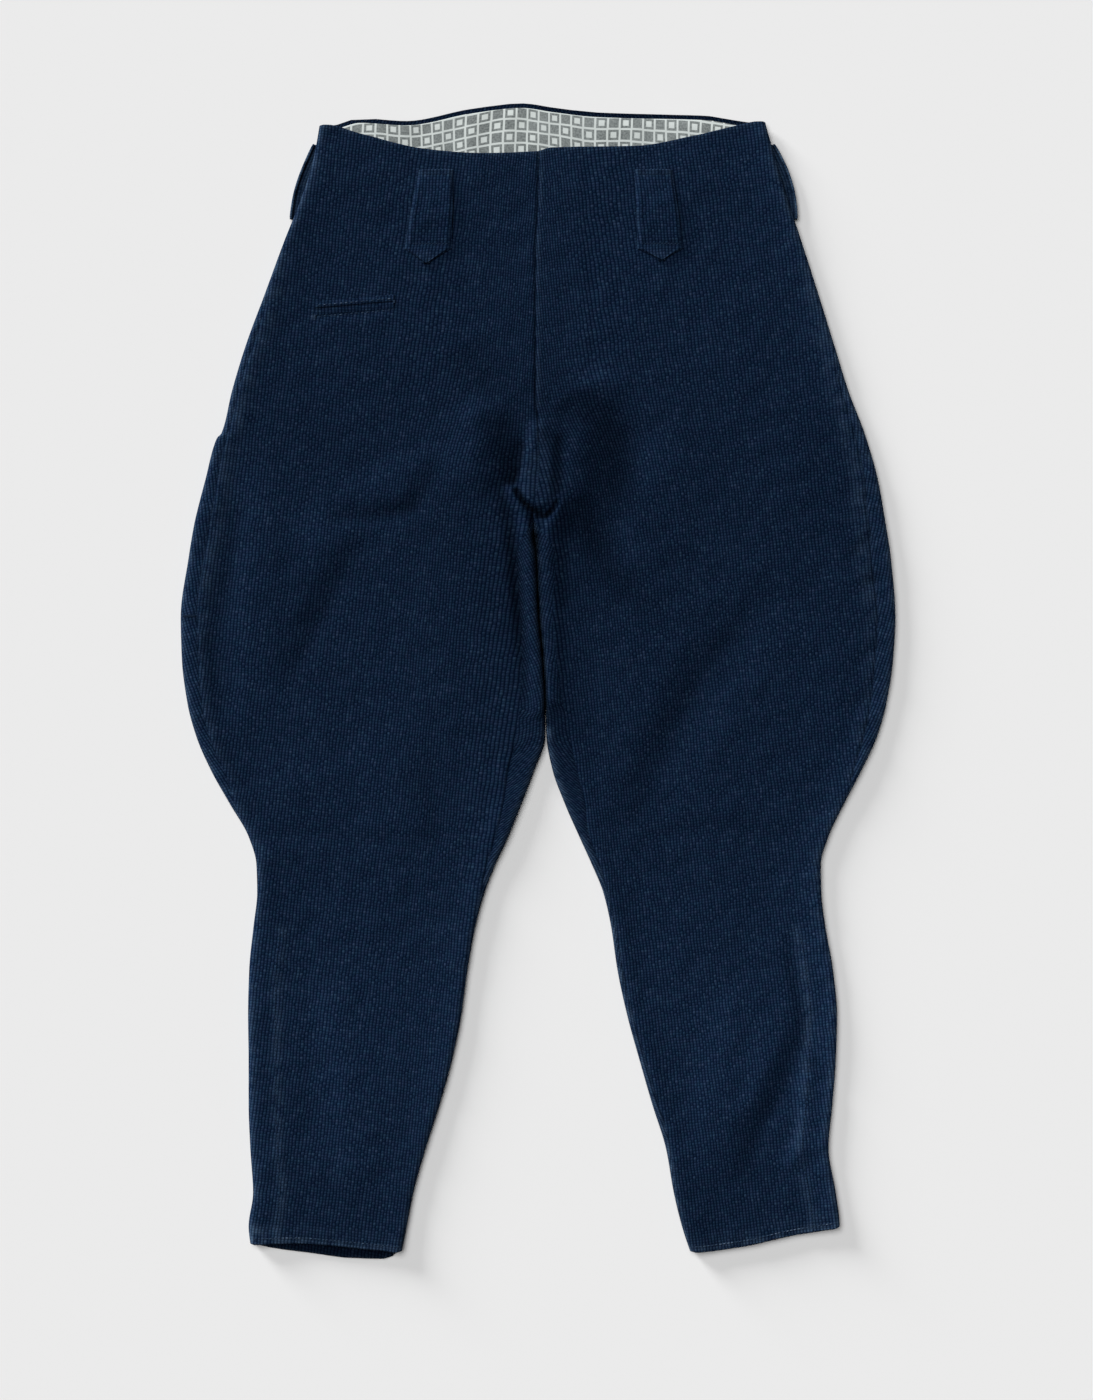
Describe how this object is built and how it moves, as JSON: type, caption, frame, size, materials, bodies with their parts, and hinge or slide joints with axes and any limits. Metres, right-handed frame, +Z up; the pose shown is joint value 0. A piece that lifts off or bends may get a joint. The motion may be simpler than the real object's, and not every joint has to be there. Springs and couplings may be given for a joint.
{
  "type": "riding breeches",
  "caption": "Riding breeches laid flat: full thighs, close calves with hidden side plackets, wide pointed belt loops, a jetted hip pocket and an open waist with a printed facing.",
  "frame": {"origin": "on the surface that the breeches lie on, under the middle of their outline", "axes": "+Y from the hems to the waist, +X towards the wearer's left leg, +Z up from the surface through the back panels to the fronts"},
  "size_m": [0.642, 1.0364, 0.0181],
  "materials": {
    "fronts": "thick indigo dobby cotton, grain along the leg",
    "backs": "the same cotton, grain turned where it wraps the edges",
    "bands": "the same cotton, doubled, with worn edges and pale stitches",
    "facing": "smooth printed cotton with a small grey check"
  },
  "bodies": {
    "root": {"front_right": "fronts", "front_left": "fronts", "back_right": "backs", "back_left": "backs", "calf_placket_right": "bands", "calf_placket_left": "bands", "belt_loop_front_right": "bands", "belt_loop_front_left": "bands", "belt_loop_side_right": "bands", "belt_loop_side_left": "bands", "side_pocket_right": "backs", "welt_upper": "bands", "welt_lower": "bands", "waist_facing": "facing"}
  },
  "joints": []
}
